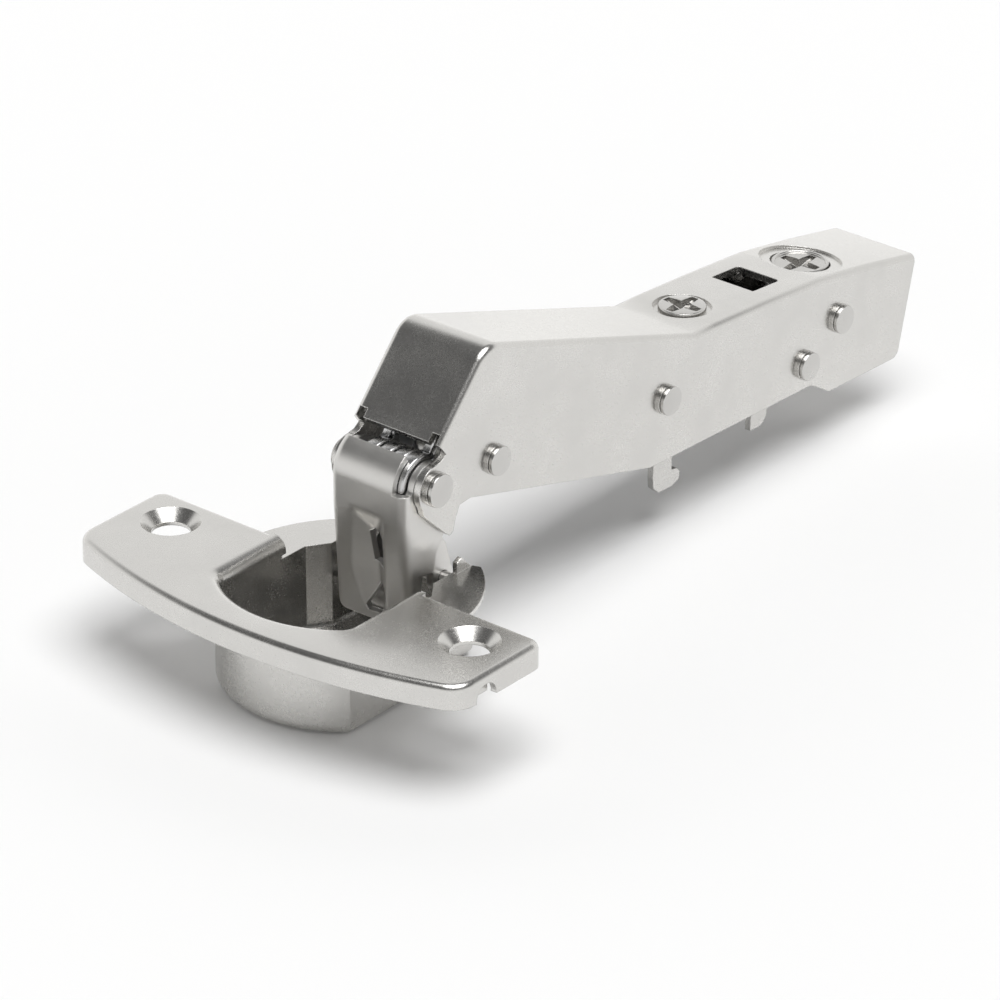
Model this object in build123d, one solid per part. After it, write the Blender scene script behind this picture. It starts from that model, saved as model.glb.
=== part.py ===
from build123d import *
from math import cos, radians, sin, sqrt
import os

os.makedirs("parts", exist_ok=True)

# Concealed cup hinge in its open pose.
# Origin: cup axis at the door face. +Z leaves the door, +X runs along the arm.

# Cup and flange
cup_radius = 17.4
cup_depth = 12.6
cup_wall = 0.9
cup_flat = 11.8
cup_floor_radius = 1.5
throat_flat = 8.9
throat_start = 4.6
throat_end = 7.5
sheet = 1.0
flange_height = 3.5
flange_front = 22.3
flange_arc = 92.0
flange_half = 33.4
flange_rear = 0.7
screw_pitch = 52.0
screw_offset = 5.5
screw_hole_radius = 2.65
screw_sink_radius = 4.15
rim_radius = 18.45
rim_thickness = 0.7
mouth_radius = 17.8

# Pivots, (x, z) on the door frame
rear_pivot = (13.32, -2.0)
front_pivot = (10.69, -6.0)
arm_pivot = (9.56, 13.43)
arm_tilt = 2.1
cup_pin_radius = 1.05
pin_clearance = 0.06

# Arm, lengths from the front pin along (u) and across (v) the arm
arm_half = 7.6
arm_sheet = 1.0
bend_radius = 1.1
second_pin_u = 12.22
damper_pin_at = (49.05, -3.82)
guide_pin_at = (81.0, -9.42)
tilt_pin_at = (88.65, -4.68)
side_screw_u = 61.8
window_u = 75.7
window_length = 5.1
window_width = 7.3
depth_cam_u = 89.0
head_height = 1.1
pin_head_radius = 2.15
front_head_radius = 2.4

# Play of the inner link's eye round the second pin
eye_play = 0.62
eye_shift = (0.50, 0.19)

# Carriage
plate_top = -0.6
plate_thickness = 1.0
slide_travel = 2.0
side_play = 0.1
hook_bottom = -18.6

arm_inner = arm_half - arm_sheet
link_gap = 0.1           # outer link's flange to the arm's inner face
link_half = arm_inner - link_gap
link_sheet = 1.0
web_half = link_half + 0.2
plate_bottom = plate_top - plate_thickness
carriage_outer = arm_inner - side_play
carriage_inner = carriage_outer - 1.0
web_top = plate_bottom - 0.1
web_thickness = 0.9


def slab(points, y0, y1, rounds=None):
    """Prism over an outline in XZ, between two Y values."""
    wire = Polyline([(x, y0, z) for x, z in points], close=True)
    solid = extrude(make_face(wire), amount=y1 - y0, dir=(0, 1, 0))
    for (x, z), radius in (rounds or {}).items():
        picked = [
            e for e in solid.edges().filter_by(Axis.Y)
            if abs(e.center().X - x) < 0.05 and abs(e.center().Z - z) < 0.05
        ]
        solid = fillet(picked, radius)
    return solid


def rod(x, z, radius, y0, y1):
    """Round bar along Y."""
    body = Cylinder(radius, y1 - y0, align=(Align.CENTER, Align.CENTER, Align.MIN))
    return Pos(x, y0, z) * Rot(-90, 0, 0) * body


def post(x, y, radius, z0, z1):
    """Round bar along Z."""
    body = Cylinder(radius, z1 - z0, align=(Align.CENTER, Align.CENTER, Align.MIN))
    return Pos(x, y, z0) * body


def block(x0, x1, y0, y1, z0, z1):
    """Box between limits."""
    body = Box(x1 - x0, y1 - y0, z1 - z0)
    return Pos((x0 + x1) / 2, (y0 + y1) / 2, (z0 + z1) / 2) * body


def mirrored(solid):
    return solid + mirror(solid, about=Plane.XZ)


def one(shape):
    """The single solid of a finished piece."""
    solids = shape.solids()
    if len(solids) != 1:
        print("pieces", [round(s.volume, 2) for s in solids])
        solids = sorted(solids, key=lambda s: -s.volume)
    return solids[0]


def on_arm(shape):
    """Move a piece drawn on the arm's own axes to its place."""
    return Pos(arm_pivot[0], 0, arm_pivot[1]) * Rot(0, arm_tilt, 0) * shape


def from_arm(u, v):
    t = radians(arm_tilt)
    x = arm_pivot[0] + u * cos(t) + v * sin(t)
    z = arm_pivot[1] - u * sin(t) + v * cos(t)
    return (x, z)


def save(shape, node):
    piece = one(shape)
    piece.label = node
    export_step(piece, "parts/" + node + ".step")
    print(node, round(piece.volume, 1), piece.is_valid)


def disc_outline(radius, flat, z0, z1, start=throat_start, end=throat_end, narrow=None):
    """Round block with side flats that narrow to the rear."""
    narrow = flat - 2.1 if narrow is None else narrow
    body = post(0, 0, radius, z0, z1)
    far = radius + 2
    plan = [
        (-far, -flat), (start, -flat), (end, -narrow), (far, -narrow),
        (far, narrow), (end, narrow), (start, flat), (-far, flat),
    ]
    wire = Polyline([(x, y, z0) for x, y in plan], close=True)
    prism = extrude(make_face(wire), amount=z1 - z0, dir=(0, 0, 1))
    return body & prism


def flange_plan(shrink, z):
    """Outline of the screw flange, shrunk inwards by a distance."""
    front = -flange_front + shrink
    half = flange_half - shrink
    rear = flange_rear - shrink
    radius = flange_arc - shrink
    centre = front + radius
    side_x = centre - sqrt(radius * radius - half * half)
    arc = ThreePointArc((side_x, -half, z), (front, 0, z), (side_x, half, z))
    rest = Polyline([(side_x, half, z), (rear, half, z), (rear, -half, z), (side_x, -half, z)])
    return make_face(Wire(arc.edges() + rest.edges()))


def make_flange_block(shrink, z0, z1, front_round, rear_round, top_round):
    solid = extrude(flange_plan(shrink, z0), amount=z1 - z0, dir=(0, 0, 1))
    upright = solid.edges().filter_by(Axis.Z)
    front = [e for e in upright if e.center().X < -6]
    rear = [e for e in upright if e.center().X > -6]
    solid = fillet(front, front_round)
    upright = solid.edges().filter_by(Axis.Z)
    rear = [e for e in upright if e.center().X > -1.5]
    solid = fillet(rear, rear_round)
    top = solid.faces().sort_by(Axis.Z)[-1].edges()
    return fillet(top, top_round)


def make_cup():
    tray = make_flange_block(0, 0, flange_height, 4.0, 2.0, 1.0)
    hollow = make_flange_block(sheet, -1, flange_height - sheet, 3.0, 1.0, 0.3)
    tray = tray - hollow
    # open the tray's rear between the rim plate and the mouth
    tray = tray - disc_outline(mouth_radius - 0.4, cup_flat - 0.1, -1, flange_height - sheet + 0.01)
    rim = post(0, 0, rim_radius, 0, rim_thickness)
    rim = rim - block(-30, -0.4, -30, 30, -1, 5)
    wall_in = cup_radius - cup_wall
    wall = disc_outline(cup_radius, cup_flat, -cup_depth, flange_height - 0.3, narrow=throat_flat + cup_wall)
    wall = wall - block(-0.3, 30, -30, 30, rim_thickness, 10)
    bottom = wall.faces().sort_by(Axis.Z)[0].edges()
    wall = fillet(bottom, cup_floor_radius)
    body = tray + rim + wall
    inside = disc_outline(
        wall_in, cup_flat - 0.8, -cup_depth + sheet, flange_height + 2, narrow=throat_flat
    )
    low = inside.faces().sort_by(Axis.Z)[0].edges()
    inside = fillet(low, 0.8)
    body = body - inside
    # mouth in the flange top
    mouth = disc_outline(mouth_radius - 0.5, cup_flat - 0.4, flange_height - 1.2, 6, start=30, end=40)
    body = body - (mouth & block(-30, 1.5, -30, 30, 0, 9))
    # low rear side of the cup, under the open part of the rim plate
    notch = block(8, 30, -throat_flat, throat_flat, -4.5, 5)
    body = body - notch
    for side in (-1, 1):
        y = side * screw_pitch / 2
        body = body - post(-screw_offset, y, screw_hole_radius, -1, 5)
        drop = screw_sink_radius - screw_hole_radius
        sink = Cone(screw_hole_radius, screw_sink_radius, drop, align=(Align.CENTER, Align.CENTER, Align.MAX))
        pad = post(-screw_offset, y, screw_sink_radius + 0.9, flange_height - drop - 0.5, flange_height - 0.2)
        pad = pad - post(-screw_offset, y, screw_hole_radius, -1, 5)
        body = body + pad
        body = body - Pos(-screw_offset, y, flange_height + 0.001) * sink
    # wire notch in the end skirt
    body = body - Pos(-11, -flange_half, 0.2) * Rot(90, 0, 0) * Cylinder(2.0, 6)
    for x, z in (rear_pivot, front_pivot):
        body = body - rod(x, z, cup_pin_radius + 0.01, -12.5, 12.5)
    return body


def make_cup_pin(pivot, reach):
    body = rod(pivot[0], pivot[1], cup_pin_radius, -reach, reach)
    return chamfer(body.edges().filter_by(GeomType.CIRCLE), 0.2)


def ring_sector(x, z, r_in, r_out, a0, a1, y0, y1):
    """Part of a tube along Y between two angles in XZ."""
    steps = 3
    points = [(x, z)]
    for i in range(steps + 1):
        a = radians(a0 + (a1 - a0) * i / steps)
        points.append((x + 3 * r_out * cos(a), z + 3 * r_out * sin(a)))
    wedge = slab(points, y0, y1)
    tube = rod(x, z, r_out, y0, y1) - rod(x, z, r_in, y0 - 1, y1 + 1)
    return tube & wedge


def make_outer_link():
    ax, az = arm_pivot
    roll = 5.2
    roll_in = 4.25
    web_top_x = ax - roll
    foot = (5.3, -6.2)
    web = slab(
        [(web_top_x, az), (web_top_x, 9.0), foot, (foot[0] + 0.05, -6.8), (foot[0] + 1.05, -6.8),
         (foot[0] + 1.0, -6.2), (web_top_x + 0.95, 9.0), (web_top_x + 0.95, az)],
        -web_half, web_half,
    )
    low = [e for e in web.edges() if e.center().Z < -6.7 and abs(abs(e.center().Y) - web_half) < 0.01]
    web = fillet(low, 2.2)
    roll_near, roll_far = -link_half + 1.1, link_half - 1.3
    beyond = web_half + 2.3
    web = web - block(0, 9, -beyond, roll_near, 10.9, 20) - block(0, 9, roll_far, beyond, 10.9, 20)
    curl = ring_sector(ax, az, roll_in, roll, 116, 181, roll_near, roll_far)
    body = web + curl
    # eye flanges round the front pin, inside the arm's ears
    for side in (-1, 1):
        y0, y1 = sorted((side * (link_half - link_sheet), side * link_half))
        eye = rod(ax, az, 4.5, y0, y1)
        neck = slab([(web_top_x + 0.4, 11.0), (ax - 1.0, az + 3.4), (ax + 4.4, az - 1.0), (12.3, 5.2),
                     (11.5, 3.9), (10.8, 2.9), (10.4, 0.2), (8.2, 0.6), (6.1, 0.95), (web_top_x + 0.5, 2.0)],
                    y0, y1, rounds={(10.4, 0.2): 0.8})
        body = body + eye + neck
        # lower eye, set in from the flange
        px, pz = rear_pivot
        y2, y3 = sorted((side * (link_half - 2.0), side * (link_half - 0.9)))
        lower = rod(px, pz, 2.1, y2, y3)
        reach = slab([(px - 2.05, pz), (px - 2.3, 3.2), (9.0, 6.5), (11.6, 6.6), (px + 0.6, 3.0), (px + 2.05, pz)],
                     y2, y3)
        body = body + lower + reach
    # round knuckle that shows beside the flange
    px, pz = rear_pivot
    body = body - rod(px, pz, cup_pin_radius + pin_clearance, -web_half - 1.3, web_half + 1.3)
    body = body - rod(ax, az, 1.6 + pin_clearance, -web_half - 1.3, web_half + 1.3)
    # pressed recess in the web and its two windows
    recess = slab([(2.0, 9.7), (4.9, 9.7), (5.7, -4.4), (2.0, -4.4)], -2.8, 2.9)
    outer = slab([(2.0, 9.7), (web_top_x + 0.45, 9.3), (web_top_x + 0.5, 8.6), (5.55, -4.0), (5.3, -4.4), (2.0, -4.4)],
                 -2.8, 2.9)
    body = body - (recess & outer)
    body = body - block(2, 9, -1.9, -0.3, -0.9, 3.0)
    body = body - block(2, 9, -0.9, 1.3, -7.6, -5.2)
    return body


def thick_path(points, width, y0, y1):
    """Bar of even width along a polyline in XZ."""
    body = None
    for (xa, za), (xb, zb) in zip(points, points[1:]):
        length = sqrt((xb - xa) ** 2 + (zb - za) ** 2)
        nx, nz = -(zb - za) / length * width / 2, (xb - xa) / length * width / 2
        part = slab([(xa + nx, za + nz), (xb + nx, zb + nz), (xb - nx, zb - nz), (xa - nx, za - nz)], y0, y1)
        body = part if body is None else body + part
    for x, z in points[1:-1]:
        body = body + rod(x, z, width / 2, y0, y1)
    return body


def make_inner_link():
    bx, bz = front_pivot
    sx, sz = from_arm(second_pin_u, 0.05)
    ex, ez = sx + eye_shift[0], sz + eye_shift[1]
    hole = 1.5 + eye_play
    path = [(bx - 0.9, bz + 0.8), (9.9, -2.6), (10.3, -0.4), (11.7, 1.5), (15.4, 4.4), (ex, ez)]
    body = thick_path(path, 1.6, -4.0, 4.0)
    body = body + rod(bx, bz, 2.1, -4.0, 4.0) + rod(ex, ez, hole + 1.0, -4.0, 4.0)
    # nose that presses the damper
    tip = from_arm(12.81, 6.82)
    root = from_arm(12.6, 2.6)
    body = body + thick_path([root, tip], 1.6, -2.0, 2.0) + rod(tip[0], tip[1], 1.2, -2.0, 2.0)
    body = body - rod(ex, ez, hole, -5, 5)
    body = body - rod(bx, bz, cup_pin_radius + pin_clearance, -5, 5)
    return body


def make_pin(u, v, shaft, head):
    """Riveted pin with a stepped head on each side of the arm."""
    body = rod(u, v, shaft, -arm_half - 0.2, arm_half + 0.2)
    for side in (-1, 1):
        y0, y1 = sorted((side * arm_half, side * (arm_half + 0.6)))
        low = rod(u, v, head, y0, y1)
        y2, y3 = sorted((side * (arm_half + 0.5), side * (arm_half + head_height)))
        top = rod(u, v, head * 0.62, y2, y3)
        body = body + low + top
    outer = [e for e in body.edges().filter_by(GeomType.CIRCLE)
             if abs(abs(e.center().Y) - arm_half - 0.6) < 0.02 and e.radius > head - 0.05]
    body = chamfer(outer, 0.25)
    outer = [e for e in body.edges().filter_by(GeomType.CIRCLE)
             if abs(abs(e.center().Y) - arm_half - head_height) < 0.02]
    return fillet(outer, 0.2)


ear_outline = [
    (4.2, -6.0), (3.8, -7.6), (3.0, -7.9), (1.94, -7.1), (-2.24, -3.23),
]

arm_top = [(55.6, 3.7), (60.0, 3.75), (72.0, 3.35), (84.0, 2.75), (95.3, 1.2), (106.6, -0.7)]


def arm_profile():
    points = [(0.62, 6.0), (10.3, 17.4)] + arm_top
    points += [(103.8, -13.4), (103.4, -15.6), (87.1, -15.6), (82.7, -13.13), (46.0, -13.13)]
    points += [(7.2, -3.83), (5.0, -4.1)] + ear_outline + [(-3.35, 0.0), (0.0, 3.4), (1.0, 3.6), (2.0, 4.3)]
    return points


def make_arm():
    points = arm_profile()
    rounds = {(103.4, -15.6): 1.6, (87.1, -15.6): 1.5, (82.7, -13.13): 1.5, (46.0, -13.13): 2.0}
    solid = slab(points, -arm_half, arm_half, rounds)
    front = [e for e in solid.edges().filter_by(Axis.Y) if abs(e.center().X - 10.3) < 0.05 and e.center().Z > 17]
    solid = fillet(front, 4.0)
    solid = solid + rod(0, 0, 3.35, -arm_half, arm_half)

    def is_bend(e):
        c = e.center()
        if abs(abs(c.Y) - arm_half) > 0.01:
            return False
        if c.Z < -1.5:
            return False
        if c.X < 2.0:
            return 1.0 < c.X and c.Z > 6.3
        return c.Z > 4.4 or (c.X > 50 and c.Z > -0.8)

    bends = [e for e in solid.edges() if is_bend(e)]
    solid = fillet(bends, bend_radius)
    inner = [(-10, 4.6), (0.9, 4.6), (1.38, 5.35), (10.62, 16.06), (55.45, 2.66)]
    inner += [(60.0, 2.74), (72.0, 2.34), (84.0, 1.74), (95.2, 0.2), (108.0, -1.95), (108.0, -30.0), (-10, -30.0)]
    hollow = slab(inner, -arm_inner, arm_inner)
    corner = [e for e in hollow.edges().filter_by(Axis.Y) if abs(e.center().X - 10.62) < 0.05 and e.center().Z > 15]
    hollow = fillet(corner, 3.0)
    solid = solid - hollow
    # notches at both ends of the front face's lower edge
    for side in (-1, 1):
        y0, y1 = sorted((side * 5.6, side * 6.9))
        solid = solid - block(0, 2.6, y0, y1, 5.0, 7.0)
    # dimple and hole of the side screw
    solid = solid - post(side_screw_u, 0, 4.2, 3.2, 9) - post(side_screw_u, 0, 2.15, 0, 9)
    # square window
    solid = solid - block(window_u - window_length / 2, window_u + window_length / 2,
                          -window_width / 2, window_width / 2, 0, 9)
    # shallow recess and hole of the depth cam
    solid = solid - Pos(depth_cam_u, 0, 1.62) * Rot(0, 6.5, 0) * Cylinder(
        6.0, 4, align=(Align.CENTER, Align.CENTER, Align.MIN))
    solid = solid - post(depth_cam_u, 0, 4.35, -3, 9)
    for u, v, r in ((0, 0, 1.6), (second_pin_u, 0.05, 1.5), (*damper_pin_at, 1.3),
                    (*guide_pin_at, 1.3), (*tilt_pin_at, 1.3)):
        solid = solid - rod(u, v, r + 0.005, -arm_half - 1.4, arm_half + 1.4)
    return solid


def make_spring():
    """Five flat coils side by side with a leg at each end."""
    body = None
    turns = 5
    width = 2.02
    start = -5.2
    for i in range(turns):
        y0 = start + i * 2.06
        coil = rod(0, 0, 4.1, y0, y0 + width)
        rims = [e for e in coil.edges().filter_by(GeomType.CIRCLE)]
        coil = fillet(rims, 0.35) - rod(0, 0, 2.75, y0 - 1, y0 + width + 1)
        body = coil if body is None else body + coil
    core = rod(0, 0, 3.6, start + 0.3, start + 9.9) - rod(0, 0, 2.95, start, start + 11)
    body = body + core
    for side, y0 in ((-1, start), (1, start + 4 * 2.06)):
        leg = slab([(1.2, 3.9), (2.6, 3.2), (9.2, 11.6), (8.2, 12.4)], y0 + 0.3, y0 + 1.7)
        body = body + leg
    return body


def make_damper_cylinder():
    """Damper drawn along its own axis, front end at the origin side."""
    body = rod_u(4.0, 14.0, 34.6)
    rear = rod_u(2.2, 33.0, 36.2)
    body = body + rear
    eye = rod(36.2, 0, 2.6, -3.0, 3.0)
    body = body + eye
    body = body - rod_u(3.2, 13.0, 32.0)
    body = body + (rod_u(3.6, 12.8, 14.8) - rod_u(1.75, 12.0, 16.0))
    body = body - rod(36.2, 0, 1.3 + 0.05, -5, 5)
    return body


def rod_u(radius, u0, u1):
    """Round bar along the damper's axis."""
    body = Cylinder(radius, u1 - u0, align=(Align.CENTER, Align.CENTER, Align.MIN))
    return Pos(u0, 0, 0) * Rot(0, 90, 0) * body


damper_angle = 17.4


def on_damper(shape):
    """Place a damper piece: its rear eye sits on the damper pin."""
    length = 36.2
    t = radians(damper_angle)
    u0 = damper_pin_at[0] - length * cos(t)
    v0 = damper_pin_at[1] + length * sin(t)
    return Pos(u0, 0, v0) * Rot(0, damper_angle, 0) * shape


def make_damper_plunger():
    """Rod with a head that the inner link's nose pushes."""
    t = radians(damper_angle)
    length = 36.2
    u0 = damper_pin_at[0] - length * cos(t)
    v0 = damper_pin_at[1] + length * sin(t)
    along = (12.81 - u0) * cos(t) - (6.82 - v0) * sin(t)
    face = along + 1.2 + 0.06
    body = rod_u(1.65, face + 0.5, 24.0) + rod_u(2.0, face, face + 1.6)
    body = body + rod_u(3.1, 24.0, 26.5)
    return body


def make_tilt_plate():
    plate = block(55.0, 96.0, -5.2, 5.2, plate_bottom, plate_top)
    upright = plate.edges().filter_by(Axis.Z)
    plate = fillet(upright, 1.5)
    body = plate
    u, v = tilt_pin_at
    for side in (-1, 1):
        y0, y1 = sorted((side * 4.5, side * 5.2))
        ear = slab([(u - 2.6, v), (u - 2.6, plate_bottom + 0.2), (u + 2.6, plate_bottom + 0.2), (u + 2.6, v)], y0, y1)
        body = body + ear + rod(u, v, 2.6, y0, y1)
    body = body - rod(u, v, 1.3 + pin_clearance, -9, 9)
    body = body - post(depth_cam_u, 0, 3.0 + pin_clearance, -5, 5)
    body = body - post(side_screw_u, 0, 2.6 + 0.005, -5, 5)
    return body


def make_carriage():
    web = block(57.0, 83.0, -carriage_inner - 0.1, carriage_inner + 0.1, web_top - web_thickness, web_top)
    tongue = block(82.0, 94.0, -4.3, 4.3, web_top - web_thickness, web_top)
    body = web + tongue
    wall_points = [
        (57.0, web_top), (83.5, web_top), (98.3, web_top - 4.2), (98.3, -12.6), (93.0, -14.9), (87.6, -14.9),
        (82.4, -12.6), (73.8, -12.6), (73.8, -16.3), (70.2, -16.3), (70.2, -12.6), (66.0, -13.3), (57.5, -13.3),
        (57.5, -13.8), (55.0, -13.8), (54.5, -12.6), (52.3, -12.6), (52.3, -16.0), (53.6, -16.2), (54.2, -16.9),
        (54.0, -18.0), (52.6, hook_bottom), (49.6, hook_bottom), (48.4, -17.6), (48.2, -16.0), (48.2, -9.4),
        (50.6, -8.0), (57.0, -8.0),
    ]
    for side in (-1, 1):
        y0, y1 = sorted((side * carriage_inner, side * carriage_outer))
        wall = slab(wall_points, y0, y1, {(73.8, -16.3): 1.8, (48.2, -9.4): 0.8})
        body = body + wall
    # long holes over the fixed pins
    for u, v in (guide_pin_at, tilt_pin_at):
        r = 1.3 + 0.45
        slot = block(u - slide_travel - 0.2, u + slide_travel + 0.2, -9, 9, v - r, v + r)
        slot = slot + rod(u - slide_travel - 0.2, v, r, -9, 9) + rod(u + slide_travel + 0.2, v, r, -9, 9)
        body = body - slot
    # slot for the side screw
    reach = slide_travel + 0.3
    slot = block(side_screw_u - reach, side_screw_u + reach, -2.3, 2.3, -6, 0)
    slot = slot + post(side_screw_u - reach, 0, 2.3, -6, 0) + post(side_screw_u + reach, 0, 2.3, -6, 0)
    body = body - slot
    # cross slot for the cam's eccentric stud
    body = body - block(depth_cam_u - 1.65, depth_cam_u + 1.65, -0.6, 4.29, -6, 0)
    u, v = catch_at
    body = body - rod(u, v, 1.0 + 0.005, -9, 9)
    return body


catch_at = (95.8, -9.4)


def make_side_screw():
    body = post(0, 0, 3.4, 3.22, 4.15)
    body = fillet(body.faces().sort_by(Axis.Z)[-1].edges(), 0.25)
    body = body + post(0, 0, 2.1, 2.3, 3.3) + post(0, 0, 2.9, 1.95, 2.5) + post(0, 0, 1.7, -5.0, 2.0)
    body = body - cross_recess(4.15, 2.2, 0.7, 0.9)
    return Pos(side_screw_u, 0, 0) * body


def cross_recess(top, reach, width, depth):
    """Cross-shaped driver recess."""
    one_way = block(-reach, reach, -width / 2, width / 2, top - depth, top + 1)
    other = block(-width / 2, width / 2, -reach, reach, top - depth, top + 1)
    return one_way + other


def make_side_nut():
    body = post(0, 0, 3.9, plate_top, plate_top + 1.6) + post(0, 0, 2.6, plate_bottom, plate_top + 0.2)
    body = body - post(0, 0, 1.95, -9, 9)
    return Pos(side_screw_u, 0, 0) * body


def make_depth_cam():
    throw = slide_travel / sin(radians(60))
    top = 1.75
    body = post(0, 0, 4.1, plate_top + 0.05, top)
    body = fillet(body.faces().sort_by(Axis.Z)[-1].edges(), 0.25)
    body = body + post(0, 0, 3.0, plate_bottom - 0.05, plate_top + 0.2)
    body = body + post(0, throw, 1.4, web_top - web_thickness, plate_bottom - 0.02)
    body = body - cross_recess(top, 2.7, 0.9, 1.2)
    return Pos(depth_cam_u, 0, 0) * body


def make_catch():
    u, v = catch_at
    body = rod(u, v, 2.2, -4.2, 4.2)
    hook = [(u - 2.0, v), (u - 4.6, -14.4), (u - 6.4, -15.0), (u - 6.4, -16.2), (u - 3.2, -16.6), (u - 1.0, -14.2), (u + 1.6, v - 1.0)]
    body = body + slab(hook, -4.2, 4.2)
    lever = [(u + 0.6, v + 2.0), (u + 7.6, v + 3.6), (u + 8.4, v + 2.8), (u + 8.2, v + 2.0), (u + 1.8, v + 0.2)]
    body = body + slab(lever, -4.2, 4.2)
    body = body - block(u - 9, u + 2.35, -2.4, 2.4, v - 2.35, v + 4)
    body = body - rod(u, v, 1.0 + pin_clearance, -9, 9)
    return body


def make_catch_spring():
    u, v = catch_at
    body = None
    for i in range(4):
        y0 = -2.2 + i * 1.1
        coil = rod(u, v, 1.95, y0, y0 + 1.05) - rod(u, v, 1.2, -9, 9)
        body = coil if body is None else body + coil
    body = body + (rod(u, v, 1.85, -2.0, 2.0) - rod(u, v, 1.3, -9, 9))
    leg = slab([(u - 1.9, v), (u - 1.0, v + 1.5), (u - 2.6, -2.7), (u - 3.4, -2.7)], -2.1, -1.3)
    return body + leg


save(make_cup(), "cup")
save(make_cup_pin(rear_pivot, 9.7), "cup_pin_rear")
save(make_cup_pin(front_pivot, 9.75), "cup_pin_front")
save(make_outer_link(), "outer_link")
save(make_inner_link(), "inner_link")
save(on_arm(make_arm()), "arm")
save(on_arm(make_pin(0, 0, 1.6, front_head_radius)), "front_pin")
save(on_arm(make_pin(second_pin_u, 0.05, 1.5, pin_head_radius)), "second_pin")
save(on_arm(make_pin(*damper_pin_at, 1.3, pin_head_radius)), "damper_pin")
save(on_arm(make_pin(*guide_pin_at, 1.3, pin_head_radius)), "guide_pin")
save(on_arm(make_pin(*tilt_pin_at, 1.3, pin_head_radius)), "tilt_pin")
sleeve_half = link_half - link_sheet - 0.2
sleeve = rod(0, 0, 2.6, -sleeve_half, sleeve_half) - rod(0, 0, 1.62, -arm_half, arm_half)
save(on_arm(sleeve), "spring_sleeve")
save(on_arm(make_spring()), "torsion_spring")
washer = rod(second_pin_u, 0.05, 3.0, 4.15, arm_inner - 0.02) - rod(second_pin_u, 0.05, 1.51, -9, 9)
save(on_arm(washer), "near_washer")
save(on_arm(mirror(washer, about=Plane.XZ)), "far_washer")
save(on_arm(on_damper(make_damper_cylinder())), "damper_cylinder")
save(on_arm(on_damper(make_damper_plunger())), "damper_plunger")
save(on_arm(make_tilt_plate()), "tilt_plate")
save(on_arm(make_carriage()), "clip_carriage")
save(on_arm(make_side_screw()), "side_screw")
save(on_arm(make_side_nut()), "side_nut")
save(on_arm(make_depth_cam()), "depth_cam")
save(on_arm(make_catch()), "release_catch")
save(on_arm(rod(*catch_at, 1.0, -carriage_outer + 0.02, carriage_outer - 0.02)), "catch_pin")
save(on_arm(make_catch_spring()), "catch_spring")
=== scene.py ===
import math

import bmesh
import bpy
from mathutils import Matrix, Vector


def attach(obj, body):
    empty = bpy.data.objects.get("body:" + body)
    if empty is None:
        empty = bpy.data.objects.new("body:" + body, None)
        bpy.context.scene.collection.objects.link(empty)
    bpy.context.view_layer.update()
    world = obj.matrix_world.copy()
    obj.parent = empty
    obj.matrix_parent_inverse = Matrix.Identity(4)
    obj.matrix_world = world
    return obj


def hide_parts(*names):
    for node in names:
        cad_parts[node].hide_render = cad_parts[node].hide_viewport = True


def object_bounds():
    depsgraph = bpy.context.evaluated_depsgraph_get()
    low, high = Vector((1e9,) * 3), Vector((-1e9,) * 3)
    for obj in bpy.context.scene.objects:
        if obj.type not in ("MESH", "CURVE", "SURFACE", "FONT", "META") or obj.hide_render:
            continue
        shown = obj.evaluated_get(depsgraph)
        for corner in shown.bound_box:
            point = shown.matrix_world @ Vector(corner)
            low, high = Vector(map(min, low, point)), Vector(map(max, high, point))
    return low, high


bl_info = {
    "name": "Concealed cup hinge",
    "version": (1, 0, 0),
    "blender": (4, 5, 0),
    "location": "3D View > Sidebar > Hinge",
    "description": "Sheet parts, turned parts, springs, finishes and stage of a concealed cup hinge",
    "category": "Object",
}

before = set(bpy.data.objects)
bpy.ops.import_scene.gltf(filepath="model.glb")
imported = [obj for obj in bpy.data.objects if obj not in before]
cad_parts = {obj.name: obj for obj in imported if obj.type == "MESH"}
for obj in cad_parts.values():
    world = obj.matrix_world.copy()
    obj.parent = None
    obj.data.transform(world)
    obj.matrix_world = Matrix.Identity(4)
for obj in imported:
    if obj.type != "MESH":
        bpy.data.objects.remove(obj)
cad_low, cad_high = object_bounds()

MM = 1000

# arm axes: the front pin, the tilt of the arm and the directions along and up
ARM_PIN = Vector((0.00956, 0.0, 0.01343))
ARM_TILT = math.radians(2.1)
ALONG = Vector((math.cos(ARM_TILT), 0.0, -math.sin(ARM_TILT)))
UP = Vector((math.sin(ARM_TILT), 0.0, math.cos(ARM_TILT)))

# riveted pins: node, place along and up the arm, and radius of the shaft, in millimetres
PINS = (
    ("front_pin", 0, 0, 1.6),
    ("second_pin", 12.22, 0.05, 1.5),
    ("damper_pin", 49.05, -3.82, 1.3),
    ("guide_pin", 81.0, -9.42, 1.3),
    ("tilt_pin", 88.65, -4.68, 1.3),
)

# screws on the arm: place along it, top of the head and reach of the cross recess, in millimetres
SIDE_SCREW_U, SIDE_SCREW_TOP, SIDE_SCREW_CROSS = 61.8, 3.95, 2.95
CAM_U, CAM_TOP, CAM_CROSS = 89.0, 1.5, 3.1

# the cam's stud stands off its middle, so that 60 degrees of turn slide the carriage by 2 mm
CAM_STUD = 2.0 / math.sin(math.radians(60))

# outer link from the side, in millimetres: front pin, rear pin in the cup, and the web's outer face
PIN_X, PIN_Z = 9.56, 13.43
REAR_X, REAR_Z = 13.32, -2.0
WEB_TOP, WEB_FOOT = 4.36, 5.3
LEAN_FROM, LEAN_LENGTH = 9, 15.2
WEB_END, FOOT_CORNER = -6.7, 2.2

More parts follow.
